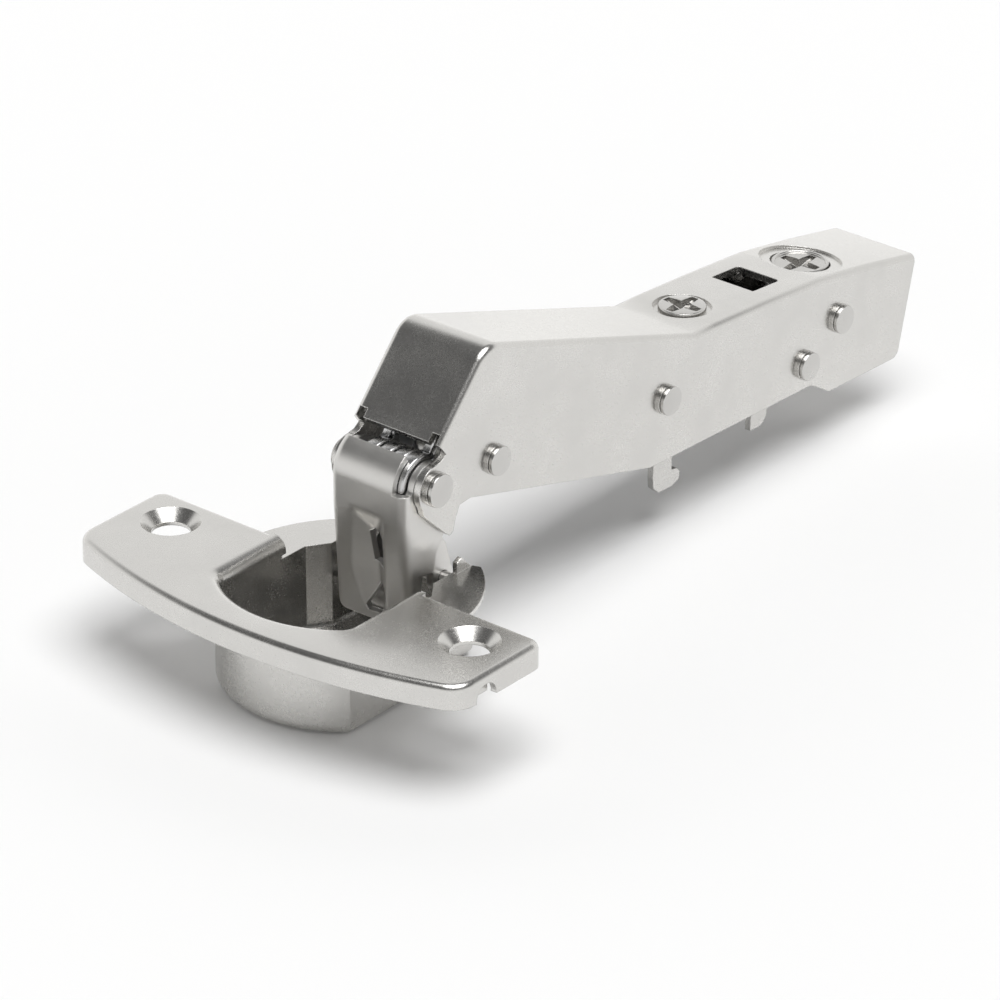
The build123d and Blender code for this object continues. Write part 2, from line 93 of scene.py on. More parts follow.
# pocket in the link's web, in millimetres: its edges, the widths of three slopes, and the far edge's taper
POCKET_FAR, POCKET_NEAR, POCKET_TOP, POCKET_LOW = 2.85, -2.75, 9.5, -5.3
NEAR_SLOPE, TOP_SLOPE, LOW_SLOPE = 1.9, 2.9, 2.2
TAPER_FROM, TAPER = 0.5, 0.3

# vector sockets of a Map Range node, which share their names with the plain ones
FROM_LOW, FROM_HIGH, TO_LOW, TO_HIGH = 7, 8, 9, 10


def on_arm(u, y, v):
    """Point of the arm's own axes, given in millimetres."""
    return ARM_PIN + ALONG * (u / MM) + Vector((0, y / MM, 0)) + UP * (v / MM)


def node_object(name):
    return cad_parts[name]


class SheetFinish(bpy.types.PropertyGroup):
    """Finish of the nickel plate"""
    base: bpy.props.FloatVectorProperty(
        name="Nickel colour", description="Colour of the nickel plate",
        default=(0.66, 0.65, 0.63), size=3, subtype="COLOR", min=0, max=1)
    gloss_low: bpy.props.FloatProperty(
        name="Smooth roughness", description="Roughness where the plate is smoothest",
        default=0.20, min=0, max=1, subtype="FACTOR")
    gloss_high: bpy.props.FloatProperty(
        name="Grained roughness", description="Roughness where the grain is coarsest",
        default=0.31, min=0, max=1, subtype="FACTOR")
    grain: bpy.props.FloatProperty(
        name="Grain size", description="Distance between grains of the plated sheet",
        default=0.00028, min=0.00005, unit="LENGTH")
    edge: bpy.props.FloatProperty(
        name="Edge softness", description="Radius of the softened stamped edges",
        default=0.00018, min=0, unit="LENGTH")


class SpringSizes(bpy.types.PropertyGroup):
    """Sizes of the closing spring"""
    turns: bpy.props.IntProperty(
        name="Turns", description="Turns of the closing spring", default=4, min=2, max=9)
    outer: bpy.props.FloatProperty(
        name="Outer radius", description="Outer radius of the coils", default=0.0041, unit="LENGTH")
    wire_high: bpy.props.FloatProperty(
        name="Wire height", description="Radial height of the flat wire", default=0.0013, unit="LENGTH")
    wire_wide: bpy.props.FloatProperty(
        name="Wire width", description="Width of the flat wire", default=0.00198, unit="LENGTH")


class StageSetup(bpy.types.PropertyGroup):
    """Floor, light and lens"""
    floor: bpy.props.FloatVectorProperty(
        name="Floor colour", description="Colour of the plain floor",
        default=(0.94, 0.94, 0.94), size=3, subtype="COLOR", min=0, max=1)
    lens: bpy.props.FloatProperty(
        name="Lens", description="Focal length of the camera, in millimetres", default=222.7, min=20)
    sky: bpy.props.FloatProperty(
        name="Upper light", description="Strength of the dim light from above", default=0.11, min=0)
    horizon: bpy.props.FloatProperty(
        name="Horizon light", description="Strength of the light from all round, low down",
        default=0.98, min=0)
    behind: bpy.props.FloatProperty(
        name="Light behind", description="How much brighter the low light is behind the arm",
        default=1.4, min=1)
    sun: bpy.props.FloatProperty(
        name="Overhead light", description="Strength of the soft light overhead", default=2.3, min=0)


class LinkSizes(bpy.types.PropertyGroup):
    """Sizes of the outer link in millimetres"""
    half: bpy.props.FloatProperty(
        name="Half width", description="Half the outside width of the outer link, in millimetres",
        default=6.5)
    sheet: bpy.props.FloatProperty(
        name="Sheet", description="Thickness of the outer link's sheet, in millimetres", default=0.95)
    bend: bpy.props.FloatProperty(
        name="Bend", description="Outside radius of the long bends, in millimetres", default=1.45)
    pocket: bpy.props.FloatProperty(
        name="Pocket depth", description="Depth of the pressed pocket, in millimetres", default=1.2)
    roll: bpy.props.FloatProperty(
        name="Roll radius", description="Outside radius of the roll round the front pin, in millimetres",
        default=5.2)


class CupSizes(bpy.types.PropertyGroup):
    """Sizes of the cup's mouth in millimetres"""
    radius: bpy.props.FloatProperty(
        name="Mouth radius", description="Radius of the cup's inner wall, in millimetres", default=16.5)
    flat: bpy.props.FloatProperty(
        name="Mouth flat", description="Distance of the two straight sides from the middle, in millimetres",
        default=11.0)
    corner: bpy.props.FloatProperty(
        name="Mouth corner", description="Radius where the round front meets a straight side, in millimetres",
        default=1.8)
    bend: bpy.props.FloatProperty(
        name="Mouth bend", description="Radius of the bend from the flange into the cup, in millimetres",
        default=1.9)
    top: bpy.props.FloatProperty(
        name="Flange top", description="Height of the flange over the door, in millimetres", default=3.5)
    rear: bpy.props.FloatProperty(
        name="Flange rear", description="Rear edge of the flange, in millimetres", default=0.7)
    throat: bpy.props.FloatProperty(
        name="Throat", description="Half width of the opening in the rim, in millimetres", default=8.9)


class ArmSizes(bpy.types.PropertyGroup):
    """Sizes of the arm in millimetres"""
    half: bpy.props.FloatProperty(
        name="Arm half width", description="Half the outside width of the arm, in millimetres", default=7.6)
    window_u: bpy.props.FloatProperty(
        name="Window place", description="Middle of the square window along the arm, in millimetres",
        default=76.2)
    window_length: bpy.props.FloatProperty(
        name="Window length", description="Length of the square window along the arm, in millimetres",
        default=6.1)
    window_width: bpy.props.FloatProperty(
        name="Window width", description="Width of the square window across the arm, in millimetres",
        default=7.4)


class HeadSizes(bpy.types.PropertyGroup):
    """Sizes of the pins' heads in millimetres"""
    head: bpy.props.FloatProperty(
        name="Head radius", description="Radius of the four rear pins' heads, in millimetres", default=2.15)
    front: bpy.props.FloatProperty(
        name="Front head radius", description="Radius of the front pin's heads, in millimetres", default=2.4)


def new_material(name):
    mat = bpy.data.materials.new(name)
    mat.use_nodes = True
    mat.node_tree.nodes.clear()
    return mat, mat.node_tree.nodes, mat.node_tree.links


def noise(nodes, links, vector, scale, detail, roughness=0.5):
    """Noise texture on given coordinates."""
    node = nodes.new("ShaderNodeTexNoise")
    node.inputs["Scale"].default_value = scale
    node.inputs["Detail"].default_value = detail
    node.inputs["Roughness"].default_value = roughness
    links.new(vector, node.inputs["Vector"])
    return node.outputs["Fac"]


def sums(nodes, links, how, *terms):
    """Math node over sockets and plain numbers."""
    node = nodes.new("ShaderNodeMath")
    node.operation = how
    for socket, term in zip(node.inputs, terms):
        if isinstance(term, bpy.types.NodeSocket):
            links.new(term, socket)
        else:
            socket.default_value = term
    return node.outputs[0]


def ranged(nodes, links, value, source, target):
    """Map a number from one range to another."""
    node = nodes.new("ShaderNodeMapRange")
    node.inputs["From Min"].default_value, node.inputs["From Max"].default_value = source
    node.inputs["To Min"].default_value, node.inputs["To Max"].default_value = target
    links.new(value, node.inputs["Value"])
    return node.outputs["Result"]


def tinted(nodes, links, value, source, colour, spread):
    """Colour that varies a little to both sides of a base colour."""
    node = nodes.new("ShaderNodeMapRange")
    node.data_type = "FLOAT_VECTOR"
    links.new(value, node.inputs["Vector"])
    node.inputs[FROM_LOW].default_value = [source[0]] * 3
    node.inputs[FROM_HIGH].default_value = [source[1]] * 3
    node.inputs[TO_LOW].default_value = [c * (1 - spread) for c in colour]
    node.inputs[TO_HIGH].default_value = [min(1, c * (1 + spread)) for c in colour]
    return node.outputs["Vector"]


def metal(name, base, low, high, grain, edge, bump=0.03, stain=0.04, drawn=None):
    """Plated metal: fine grain, soft stains, softened edges, and drawing lines where asked."""
    mat, nodes, links = new_material(name)
    out = nodes.new("ShaderNodeOutputMaterial")
    shader = nodes.new("ShaderNodeBsdfPrincipled")
    links.new(shader.outputs["BSDF"], out.inputs["Surface"])
    shader.inputs["Metallic"].default_value = 1.0
    place = nodes.new("ShaderNodeTexCoord").outputs["Object"]
    grit = noise(nodes, links, place, 1.0 / grain, 3.0, 0.6)
    cloud = noise(nodes, links, place, 140.0, 5.0, 0.62)
    grit_share = sums(nodes, links, "MULTIPLY", grit, 0.55)
    mixed = sums(nodes, links, "MULTIPLY_ADD", cloud, 0.45, grit_share)
    links.new(ranged(nodes, links, mixed, (0.32, 0.68), (low, high)), shader.inputs["Roughness"])
    links.new(tinted(nodes, links, cloud, (0.3, 0.7), base, stain), shader.inputs["Base Color"])
    round_edge = nodes.new("ShaderNodeBevel")
    round_edge.samples = 6
    round_edge.inputs["Radius"].default_value = edge
    relief = nodes.new("ShaderNodeBump")
    relief.inputs["Strength"].default_value = bump
    relief.inputs["Distance"].default_value = 0.00012
    links.new(round_edge.outputs["Normal"], relief.inputs["Normal"])
    height = grit
    if drawn:
        stretch = nodes.new("ShaderNodeMapping")
        stretch.inputs["Scale"].default_value = drawn
        links.new(place, stretch.inputs["Vector"])
        lines = noise(nodes, links, stretch.outputs["Vector"], 1.0, 4.0)
        height = sums(nodes, links, "ADD", lines, grit)
    links.new(height, relief.inputs["Height"])
    links.new(relief.outputs["Normal"], shader.inputs["Normal"])
    return mat


def plastic(name, colour, rough, speckle=0.0004):
    """Moulded plastic with a fine spark-eroded texture."""
    mat, nodes, links = new_material(name)
    out = nodes.new("ShaderNodeOutputMaterial")
    shader = nodes.new("ShaderNodeBsdfPrincipled")
    links.new(shader.outputs["BSDF"], out.inputs["Surface"])
    place = nodes.new("ShaderNodeTexCoord").outputs["Object"]
    grit = noise(nodes, links, place, 1.0 / speckle, 2.0)
    links.new(ranged(nodes, links, grit, (0, 1), (rough * 0.85, rough * 1.15)), shader.inputs["Roughness"])
    links.new(tinted(nodes, links, grit, (0, 1), colour, 0.07), shader.inputs["Base Color"])
    relief = nodes.new("ShaderNodeBump")
    relief.inputs["Strength"].default_value = 0.08
    relief.inputs["Distance"].default_value = 0.00005
    links.new(grit, relief.inputs["Height"])
    links.new(relief.outputs["Normal"], shader.inputs["Normal"])
    return mat


def dress(names, mat):
    """Give every slot of some CAD nodes one material."""
    for name in names:
        data = node_object(name).data
        if not data.materials:
            data.materials.append(mat)
        for i in range(len(data.materials)):
            data.materials[i] = mat


def new_object(name, bm):
    """Object in the scene from an edit mesh, which is used up."""
    data = bpy.data.meshes.new(name)
    bm.to_mesh(data)
    bm.free()
    obj = bpy.data.objects.new(name, data)
    bpy.context.scene.collection.objects.link(obj)
    return obj


def mesh_object(name, bm, mat, smooth=True):
    """Object with a material, smooth or flat all over."""
    bm.normal_update()
    obj = new_object(name, bm)
    obj.data.materials.append(mat)
    for face in obj.data.polygons:
        face.use_smooth = smooth
    return obj


def set_in_frame(obj, node, body):
    """The piece stands in for a CAD node and rides on its body."""
    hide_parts(node)
    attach(obj, body)
    return obj


def sweep(bm, sections):
    """Skin a run of closed sections and cap both ends."""
    rings = []
    for ring in sections:
        rings.append([bm.verts.new(p) for p in ring])
    count = len(rings[0])
    for a, b in zip(rings, rings[1:]):
        for i in range(count):
            j = (i + 1) % count
            bm.faces.new((a[i], a[j], b[j], b[i]))
    bm.faces.new(list(reversed(rings[0])))
    bm.faces.new(rings[-1])


def rounded_section(high, wide, corner, per=4):
    """Rounded rectangle as pairs (out, across)."""
    points = []
    for cx, cy, start in ((1, 1, 0), (-1, 1, 90), (-1, -1, 180), (1, -1, 270)):
        for i in range(per + 1):
            a = math.radians(start + 90 * i / per)
            points.append((
                cx * (high / 2 - corner) + corner * math.cos(a),
                cy * (wide / 2 - corner) + corner * math.sin(a),
            ))
    return points


def closed(bm, rings):
    """Loft closed rings, cap the two ends and return it as an object."""
    for one, two in zip(rings, rings[1:]):
        for i in range(len(one)):
            j = (i + 1) % len(one)
            bm.faces.new((one[i], one[j], two[j], two[i]))
    bm.faces.new(rings[0])
    bm.faces.new(rings[-1])
    bmesh.ops.recalc_face_normals(bm, faces=bm.faces)
    return new_object("solid", bm)


def prism(outline, axis, low, high):
    """Closed prism over an outline, in millimetres, along one axis."""
    order = {"X": (2, 0, 1), "Y": (0, 2, 1), "Z": (0, 1, 2)}[axis]
    bm = bmesh.new()
    rings = []
    for h in (low, high):
        rings.append([bm.verts.new([(a, b, h)[k] for k in order]) for a, b in outline])
    return closed(bm, rings)


def drum(a, b, radius, axis, low, high, sides=64):
    """Closed round bar, in millimetres, along one axis."""
    turn = 2 * math.pi / sides
    outline = [(a + radius * math.cos(turn * i), b + radius * math.sin(turn * i)) for i in range(sides)]
    return prism(outline, axis, low, high)


def lathe(profile, place, sides=72):
    """Closed turned form: profile is (radius, along) from one end on the axis to the other."""
    bm = bmesh.new()
    rings = []
    for r, along in profile:
        if r == 0:
            rings.append([bm.verts.new(place(0, 0, along))])
            continue
        rings.append([bm.verts.new(place(r, 2 * math.pi * i / sides, along)) for i in range(sides)])
    for one, two in zip(rings, rings[1:]):
        for i in range(sides):
            j = (i + 1) % sides
            if len(one) == 1:
                bm.faces.new((one[0], two[j], two[i]))
            elif len(two) == 1:
                bm.faces.new((one[i], one[j], two[0]))
            else:
                bm.faces.new((one[i], one[j], two[j], two[i]))
    bmesh.ops.recalc_face_normals(bm, faces=bm.faces)
    return new_object("turned", bm)


def applied(obj):
    """Replace an object's mesh by what its modifiers make of it."""
    graph = bpy.context.evaluated_depsgraph_get()
    data = bpy.data.meshes.new_from_object(obj.evaluated_get(graph))
    obj.modifiers.clear()
    old, obj.data = obj.data, data
    bpy.data.meshes.remove(old)


def combine(base, how, *tools):
    """Join tools to a closed mesh or cut them out of it."""
    for tool in tools:
        mod = base.modifiers.new("combine", "BOOLEAN")
        mod.operation = how
        mod.solver = "MANIFOLD"
        mod.object = tool
        applied(base)
        bpy.data.objects.remove(tool)


def copy_of(node):
    """Closed copy of a node's mesh, in millimetres."""
    bm = bmesh.new()
    bm.from_mesh(node_object(node).data)
    bmesh.ops.scale(bm, vec=(MM, MM, MM), verts=bm.verts)
    bmesh.ops.remove_doubles(bm, verts=bm.verts, dist=0.0005)
    return new_object(node, bm)


def finish_piece(obj, name, mat, node, body, sharp=32):
    """Scale a millimetre mesh to metres, smooth it up to an angle and set it in the frame."""
    bm = bmesh.new()
    bm.from_mesh(obj.data)
    bmesh.ops.scale(bm, vec=(0.001, 0.001, 0.001), verts=bm.verts)
    bmesh.ops.remove_doubles(bm, verts=bm.verts, dist=2e-7)
    bmesh.ops.dissolve_degenerate(bm, edges=bm.edges, dist=1e-7)
    bm.normal_update()
    for face in bm.faces:
        face.smooth = True
    for edge in bm.edges:
        if len(edge.link_faces) == 2:
            edge.smooth = edge.calc_face_angle(0) < math.radians(sharp)
    bm.to_mesh(obj.data)
    bm.free()
    obj.name = name
    obj.data.name = name
    obj.data.materials.clear()
    obj.data.materials.append(bpy.data.materials[mat])
    return set_in_frame(obj, node, body)


def smooth_min(a, b, k):
    """The smaller of two numbers, blended where they are closer than k."""
    h = max(k - abs(a - b), 0) / k
    return min(a, b) - h * h * k / 4


def smooth_max(a, b, k):
    return -smooth_min(-a, -b, k)


def web_x(z):
    """Outer face of the link's web at a height, in millimetres."""
    if z > LEAN_FROM:
        return WEB_TOP
    return WEB_TOP + (LEAN_FROM - z) * (WEB_FOOT - WEB_TOP) / LEAN_LENGTH


def pocket_depth(y, z, deepest):
    """How far the web is pressed in at a place: a long slope from the far side, steep on the near side."""
    far_edge = POCKET_FAR if z > TAPER_FROM else POCKET_FAR - (TAPER_FROM - z) * TAPER
    far = (far_edge - y) / (far_edge + 0.5)
    near = (y - POCKET_NEAR) / NEAR_SLOPE
    top = (POCKET_TOP - z) / TOP_SLOPE
    low = (z - POCKET_LOW) / LOW_SLOPE
    share = smooth_min(smooth_min(far, near, 0.25), smooth_min(top, low, 0.25), 0.25)
    return deepest * smooth_min(smooth_max(share, 0, 0.22), 1.0, 0.2)


def link_section(p):
    """Line across the link as (across, depth): a flange, a bend, the web and the same on the far side."""
    near = [(-p.half, 3.4), (-p.half, 2.4)]
    bend_steps, web_steps = 10, 84
    for i in range(bend_steps + 1):
        a = math.pi / 2 * i / bend_steps
        near.append((-p.half + p.bend * (1 - math.cos(a)), p.bend * (1 - math.sin(a))))
    flat = p.half - p.bend
    web = [(-flat + 2 * flat * i / web_steps, 0.0) for i in range(1, web_steps)]
    return near + web + [(-y, d) for y, d in reversed(near)]


def link_rows(p, section, web_rows):
    """Rows of points up the web, with its round foot and its pocket, and then round the roll."""
    rows = []
    for r in range(web_rows + 1):
        share = r / web_rows
        row = []
        for y, d in section:
            edge = max(abs(y) - (p.half - FOOT_CORNER), 0) / FOOT_CORNER
            foot = WEB_END + FOOT_CORNER * (1 - math.sqrt(max(1 - edge * edge, 0)))
            z = foot + share * (PIN_Z - foot)
            press = pocket_depth(y, z, p.pocket) if d == 0 else 0
            row.append((web_x(z) + d + press, y, z))
        rows.append(row)
    roll_rows, roll_turn = 36, 64
    for r in range(1, roll_rows + 1):
        a = math.radians(180 - roll_turn * r / roll_rows)
        row = []
        for y, d in section:
            out = p.roll - d
            row.append((PIN_X + out * math.cos(a), y, PIN_Z + out * math.sin(a)))
        rows.append(row)
    return rows


def link_sheet(p):
    """The folded sheet of the link, thickened, open beside the roll and under the flanges."""
    web_rows = 150
    section = link_section(p)
    rows = link_rows(p, section, web_rows)
    slot_edge, flange_end = -4.5, 0.9
    bm = bmesh.new()
    grid = [[bm.verts.new(v) for v in row] for row in rows]
    for r in range(len(grid) - 1):
        z = (rows[r][0][2] + rows[r + 1][0][2]) / 2
        for i in range(len(section) - 1):
            y = (section[i][0] + section[i + 1][0]) / 2
            d = max(section[i][1], section[i + 1][1])
            beside_roll = r >= web_rows and y < slot_edge
            under_flange = z < flange_end and d > p.bend + 0.01
            if not beside_roll and not under_flange:
                bm.faces.new((grid[r][i], grid[r + 1][i], grid[r + 1][i + 1], grid[r][i + 1]))
    loose = [v for v in bm.verts if not v.link_faces]
    bmesh.ops.delete(bm, geom=loose, context="VERTS")
    link = new_object("link", bm)
    thick = link.modifiers.new("thick", "SOLIDIFY")
    thick.thickness = p.sheet
    thick.offset = -1
    thick.use_even_offset = True
    applied(link)
    return link


class HINGE_OT_link(bpy.types.Operator):
    """Press the outer link from sheet: bends, roll, pocket, windows and eyes"""
    bl_idname = "hinge.link"
    bl_label = "Press the outer link"

    def execute(self, context):
        p = context.scene.hinge_link
        link = link_sheet(p)
        flange = [
            (5.85, 9.3), (5.85, PIN_Z - 0.02), (6.4, PIN_Z + 0.6), (PIN_X - 1, PIN_Z + 2.0),
            (PIN_X + 1, PIN_Z + 1.0), (12.75, PIN_Z - 1.6), (12.3, 5.2), (11.5, 3.9), (10.8, 2.9),
            (10.55, 0.9), (10.2, 0.25), (8.2, 0.6), (6.6, 0.9), (6.2, 1.4),
        ]
        knuckle = 2.1
        reach = [
            (REAR_X - 2.05, REAR_Z), (REAR_X - 2.3, 3.2), (9.0, 6.5), (11.6, 6.6),
            (REAR_X + 0.6, 3.0), (REAR_X + 2.05, REAR_Z),
        ]
        for side in (-1, 1):
            y0, y1 = sorted((side * (p.half - 0.98), side * (p.half - 0.004)))
            combine(link, "UNION", prism(flange, "Y", y0, y1))
            combine(link, "UNION", drum(PIN_X, PIN_Z, 3.35, "Y", y0, y1))
            y2, y3 = sorted((side * (p.half - 2.0), side * (p.half - 0.9)))
            combine(link, "UNION", prism(reach, "Y", y2, y3))
            combine(link, "UNION", drum(REAR_X, REAR_Z, knuckle, "Y", y2 + 0.01, y3 - 0.01))
        upper_window = [(-2.3, 1.6), (-2.35, 6.1), (-0.6, 6.9), (0.35, 6.3), (-0.15, 2.0)]
        lower_window = [(-2.1, -1.6), (-0.9, -1.2), (1.1, -4.9), (0.6, -5.5), (-1.7, -5.4)]
        for outline in (upper_window, lower_window):
            combine(link, "DIFFERENCE", prism(outline, "X", 3, 9))
        rear_hole, front_hole, through = 1.11, 1.66, 9
        combine(link, "DIFFERENCE", drum(REAR_X, REAR_Z, rear_hole, "Y", -through, through))
        combine(link, "DIFFERENCE", drum(PIN_X, PIN_Z, front_hole, "Y", -through, through))
        finish_piece(link, "pressed_link", "drawn_nickel", "outer_link", "outer_link_body")
        return {"FINISHED"}


def mouth_path(p):
    """Inner line of the mouth as (x, y, outward x, outward y), from one rear end round to the other."""
    path = [(p.rear - 0.02, p.flat, 0, 1), (-4.0, p.flat, 0, 1)]
    reach = p.radius - p.corner
    cy = p.flat - p.corner
    cx = -math.sqrt(reach * reach - cy * cy)
    turn = math.atan2(cy, cx)
    for i in range(11):
        a = math.pi / 2 + (turn - math.pi / 2) * i / 10
        path.append((cx + p.corner * math.cos(a), cy + p.corner * math.sin(a), math.cos(a), math.sin(a)))
    side = path[:]
    for i in range(1, 60):
        a = turn + 2 * (math.pi - turn) * i / 60
        path.append((p.radius * math.cos(a), p.radius * math.sin(a), math.cos(a), math.sin(a)))
    return path + [(x, -y, nx, -ny) for x, y, nx, ny in reversed(side)]


def mouth_section(p, sheet=1, lap=0.4):
    """Section of the mouth's bend as (outward, height), with a lap into the flange and into the wall."""
    base = p.top - p.bend
    section = [(p.bend + lap, p.top)]
    for i in range(9):
        a = math.radians(90 + 90 * i / 8)
        section.append((p.bend * (1 + math.cos(a)), base + p.bend * math.sin(a)))
    section += [(0.0, base - lap), (0.85, base - lap)]
    inner = p.bend - sheet
    for i in range(7):
        a = math.radians(180 - 90 * i / 6)
        section.append((p.bend + inner * math.cos(a), base + inner * math.sin(a)))
    section.append((p.bend + lap, p.top - sheet))
    return section


class HINGE_OT_cup(bpy.types.Operator):
    """Bend the flange down into the cup, trim the rim's leaves and back the wire notch"""
    bl_idname = "hinge.cup"
    bl_label = "Bend the cup's mouth"

    def execute(self, context):
        p = context.scene.hinge_cup
        cup = copy_of("cup")
        path = mouth_path(p)
        cut = [(x + nx * p.bend, y + ny * p.bend) for x, y, nx, ny in path]
        rear = p.rear + 1.0
        cut = [(rear, cut[0][1])] + cut + [(rear, cut[-1][1])]
        combine(cup, "DIFFERENCE", prism(cut, "Z", p.top - p.bend, p.top + 2))
        section = mouth_section(p)
        bm = bmesh.new()
        rings = []
        for x, y, nx, ny in path:
            rings.append([bm.verts.new((x + nx * o, y + ny * o, z)) for o, z in section])
        combine(cup, "UNION", closed(bm, rings))
        edge = p.throat
        leaf = [(14.4, edge - 1), (14.4, edge), (15.1, edge + 2.2), (20, edge + 2.6), (20, edge - 1)]
        lug = [(11.4, 0.2), (11.4, 2.3), (12.4, 2.75), (14.39, 0.75), (14.39, 0.2)]
        for side in (-1, 1):
            combine(cup, "DIFFERENCE", prism([(x, side * y) for x, y in leaf], "Z", -0.01, 6))
            y0, y1 = sorted((side * (edge + 0.02), side * (edge + 0.75)))
            combine(cup, "UNION", prism(lug, "Y", y0, y1))
        notch_back = [(-14.9, 0.02), (-9.2, 0.02), (-9.2, 2.7), (-14.9, 2.7)]
        combine(cup, "UNION", prism(notch_back, "Y", -32.0, -31.0))
        finish_piece(cup, "drawn_cup", "satin_nickel", "cup", "cup_body")
        return {"FINISHED"}


class HINGE_OT_arm(bpy.types.Operator):
    """Open the arm's square window to its full length, with rounded corners"""
    bl_idname = "hinge.arm"
    bl_label = "Open the arm's window"

    def execute(self, context):
        p = context.scene.hinge_arm
        corner, under, over = 0.6, -1.5, 3.5
        outline = rounded_section(p.window_length, p.window_width, corner)
        arm = copy_of("arm")
        bm = bmesh.new()
        rings = []
        for v in (under, over):
            rings.append([bm.verts.new(on_arm(p.window_u + u, y, v) * MM) for u, y in outline])
        combine(arm, "DIFFERENCE", closed(bm, rings))
        finish_piece(arm, "arm_sheet", "satin_nickel", "arm", "arm_body")
        return {"FINISHED"}


def across_arm(u, v):
    """Rule that places a turned piece with its axis across the arm."""
    def place(r, a, y):
        return on_arm(u + r * math.cos(a), y, v + r * math.sin(a)) * MM
    return place


def up_from_arm(u, y=0.0):
    """Rule that places a turned piece with its axis standing on the arm."""
    def place(r, a, v):
        return on_arm(u + r * math.cos(a), y + r * math.sin(a), v) * MM
    return place


def head_profile(head):
    """A pin's head as (radius, height over the arm's side): softened edge, then a groove."""
    return [
        (0.0, 1.1), (head - 0.22, 1.1), (head - 0.11, 1.06), (head - 0.06, 0.95), (head - 0.06, 0.66),
        (head - 0.3, 0.62), (head - 0.3, 0.46), (head - 0.05, 0.42), (head, 0.36), (head, 0.0),
    ]


class HINGE_OT_pin_heads(bpy.types.Operator):
    """Turn the riveted pins with a groove round each head"""
    bl_idname = "hinge.pin_heads"
    bl_label = "Turn the riveted pins"

    def execute(self, context):
        p = context.scene.hinge_heads
        arm_half = context.scene.hinge_arm.half
        for name, u, v, shaft in PINS:
            head = p.front if name == "front_pin" else p.head
            profile = [(r, arm_half + y) for r, y in head_profile(head)] + [(shaft, arm_half - 0.01)]
            profile += [(r, -y) for r, y in reversed(profile)]
            pin = lathe(profile, across_arm(u, v))
            finish_piece(pin, name + "_turned", "turned_nickel", name, "arm_body")
        return {"FINISHED"}


def cross_bar(u, top, reach, angle):
    """One bar of a cross recess: wide at the middle, its floor rising to both ends."""
    bm = bmesh.new()
    along, across = math.radians(angle), math.radians(angle + 90)
    flare, over = 1.08, 0.5
    rings = []
    bars = ((-1, 0.55, 0.55), (-0.5, 0.78, 1.15), (0, 0.8, 1.5), (0.5, 0.78, 1.15), (1, 0.55, 0.55))
    for share, wide, deep in bars:
        ring = []
        for side, v in ((-1, top - deep), (1, top - deep), (flare, top + over), (-flare, top + over)):
            du = reach * share * math.cos(along) + side * wide * math.cos(across)
            dy = reach * share * math.sin(along) + side * wide * math.sin(across)
            ring.append(bm.verts.new(on_arm(u + du, dy, v) * MM))
        rings.append(ring)
    return closed(bm, rings)


def cut_cross(piece, u, top, reach):
    for angle in (0, 90):
        combine(piece, "DIFFERENCE", cross_bar(u, top, reach, angle))


class HINGE_OT_screws(bpy.types.Operator):
    """Turn the side screw and the cam and cut their cross recess"""
    bl_idname = "hinge.screws"
    bl_label = "Turn the two screws"

    def execute(self, context):
        top = SIDE_SCREW_TOP
        profile = [
            (0, top), (3.05, top), (3.3, 3.88), (3.4, 3.7), (3.4, 3.05), (2.05, 3.02), (2.05, 2.4),
            (2.9, 2.4), (2.9, 1.98), (1.7, 1.95), (1.7, -4.8), (1.3, -5.0), (0, -5.0),
        ]
        screw = lathe(profile, up_from_arm(SIDE_SCREW_U))
        cut_cross(screw, SIDE_SCREW_U, top, SIDE_SCREW_CROSS)
        finish_piece(screw, "side_screw_turned", "bright_screw",
                     "side_screw", "side_screw_body")

        top = CAM_TOP
        profile = [
            (0, top), (3.55, top), (3.62, 1.68), (3.72, 1.75), (3.95, 1.75), (4.08, 1.68), (4.1, 1.55),
            (4.1, -0.54), (3.0, -0.56), (3.0, -1.64), (0, -1.64),
        ]
        stud = [(0, -1.5), (1.4, -1.5), (1.4, -2.6), (0, -2.6)]
        cam = lathe(profile, up_from_arm(CAM_U))
        combine(cam, "UNION", lathe(stud, up_from_arm(CAM_U, CAM_STUD)))
        cut_cross(cam, CAM_U, top, CAM_CROSS)
        finish_piece(cam, "depth_cam_turned", "bright_screw",
                     "depth_cam", "cam_body")
        return {"FINISHED"}


class HINGE_OT_sheet(bpy.types.Operator):
    """Give the stamped sheet parts their satin nickel plate"""
    bl_idname = "hinge.sheet"
    bl_label = "Finish sheet parts"

    def execute(self, context):
        p = context.scene.hinge_sheet
        metal("satin_nickel", p.base, p.gloss_low, p.gloss_high, p.grain, p.edge)
        duller = 0.09
        drawn = metal("drawn_nickel", p.base, p.gloss_low + duller, p.gloss_high + duller, p.grain, p.edge,
                      bump=0.02, drawn=(1500, 1500, 120))
        dress(["inner_link"], drawn)
        # painted shade: the tilt plate, the carriage and the catch get a copy of the nickel plate darkened to
        # 0.92, for the shade they sit in within the arm
        painted_shade_base = [c * 0.92 for c in p.base]
        shaded_nickel = metal("painted_shade_nickel", painted_shade_base, p.gloss_low, p.gloss_high, p.grain, p.edge)
        dress(["tilt_plate", "clip_carriage", "release_catch"], shaded_nickel)
        return {"FINISHED"}


class HINGE_OT_pins(bpy.types.Operator):
    """Give the pins and the side nut their turned finish, and make the screws' bright finish"""
    bl_idname = "hinge.pins"
    bl_label = "Finish pins and screws"

    def execute(self, context):
        p = context.scene.hinge_sheet
        turned = metal("turned_nickel", [c * 0.88 for c in p.base], 0.2, 0.3, 0.0003, 0.00006)
        dress(["catch_pin", "cup_pin_rear", "cup_pin_front", "side_nut"], turned)
        metal("bright_screw", [c * 0.9 for c in p.base], 0.16, 0.3, 0.00035, 0.00012)
        return {"FINISHED"}


